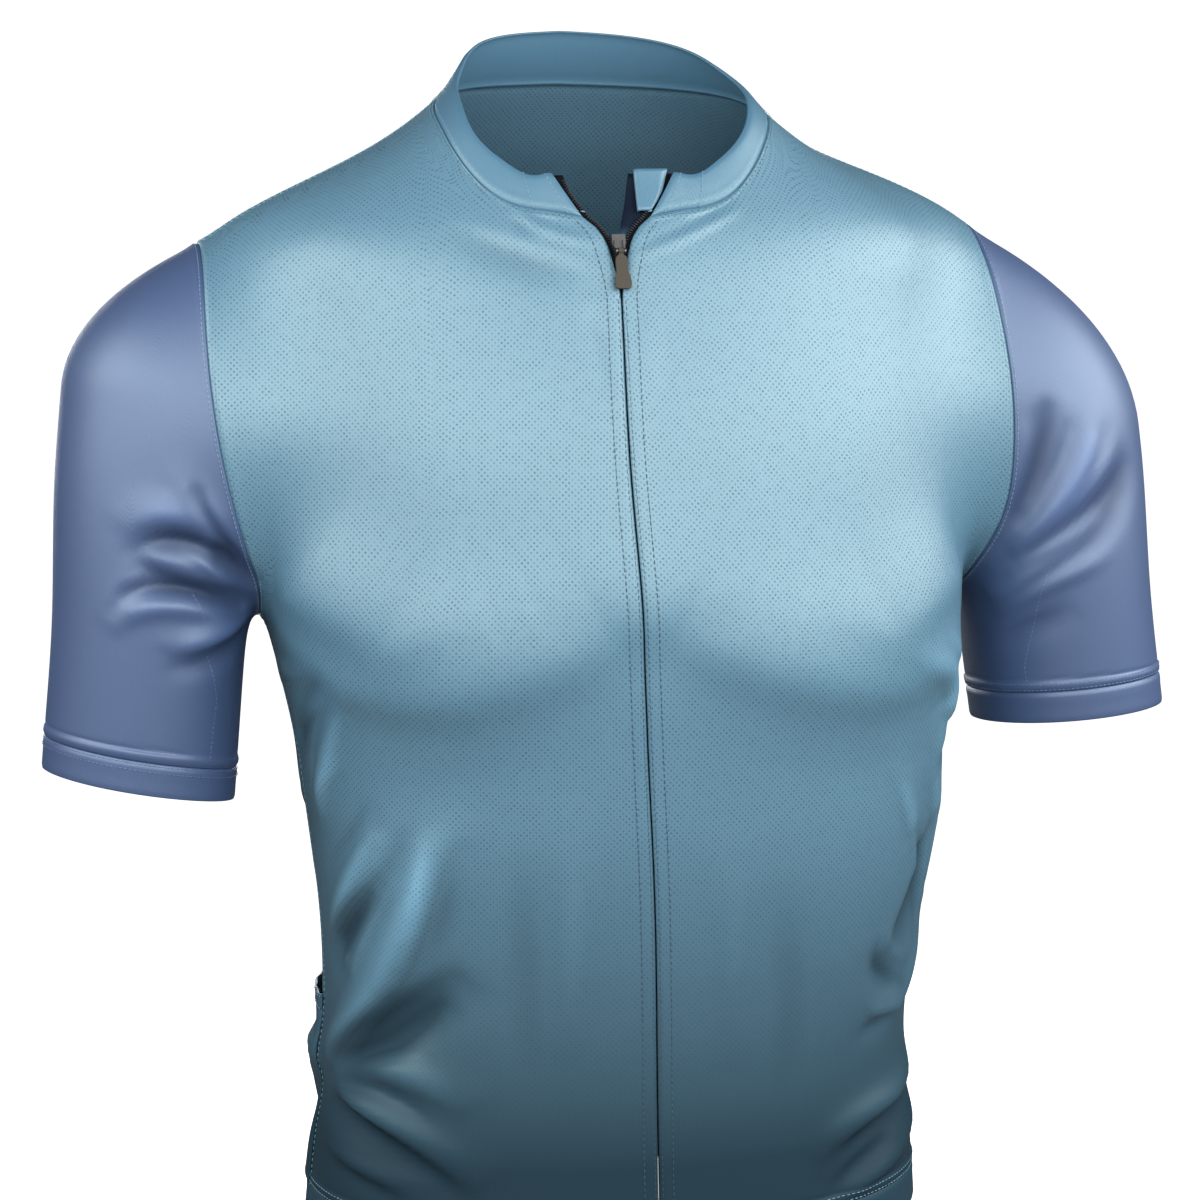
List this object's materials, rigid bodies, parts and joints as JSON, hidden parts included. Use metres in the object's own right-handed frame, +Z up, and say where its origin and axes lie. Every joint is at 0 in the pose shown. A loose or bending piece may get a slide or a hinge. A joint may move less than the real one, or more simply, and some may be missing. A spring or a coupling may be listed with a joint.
{
  "type": "cycling jersey",
  "caption": "Short-sleeved cycling jersey in fine stretch mesh, worn form, with a full-length front zip partly open at a low stand collar, banded cuffs and hem, and rear pockets.",
  "frame": {"origin": "middle of the neck, at the height where the shoulders start, where the jersey is held", "axes": "+Z up to the head, +X to the right of someone who looks at the front, -Y out of the front"},
  "size_m": [0.544, 0.2402, 0.5845],
  "materials": {
    "mesh_knit": "fine pinhole mesh knit, matte with a faint sheen",
    "smooth_knit": "smooth stretch knit",
    "sleeve_knit": "smooth stretch knit with a soft sheen",
    "guard_knit": "brushed navy knit",
    "zip_tape": "woven tape",
    "slider_metal": "gunmetal plating",
    "pull_rubber": "soft matte rubber"
  },
  "bodies": {
    "jersey": {"front_left": "mesh_knit", "front_right": "mesh_knit", "back": "mesh_knit", "pocket_panel": "mesh_knit", "hem_left": "smooth_knit", "hem_right": "smooth_knit", "hem_back": "smooth_knit", "collar": "smooth_knit", "zip_garage": "smooth_knit", "sleeve_left": "sleeve_knit", "sleeve_right": "sleeve_knit", "cuff_left": "sleeve_knit", "cuff_right": "sleeve_knit", "zip_guard": "guard_knit", "zip_tape_left": "zip_tape", "zip_tape_right": "zip_tape", "zip_slider": "slider_metal"},
    "pull": {"zip_pull": "pull_rubber"}
  },
  "joints": [
    {"name": "pull_swing", "type": "hinge", "parent": "jersey", "child": "pull", "pos_m": [-0.00521, -0.07978, -0.05802], "axis": [-1, 0, 0], "range_deg": [0, 150]}
  ]
}
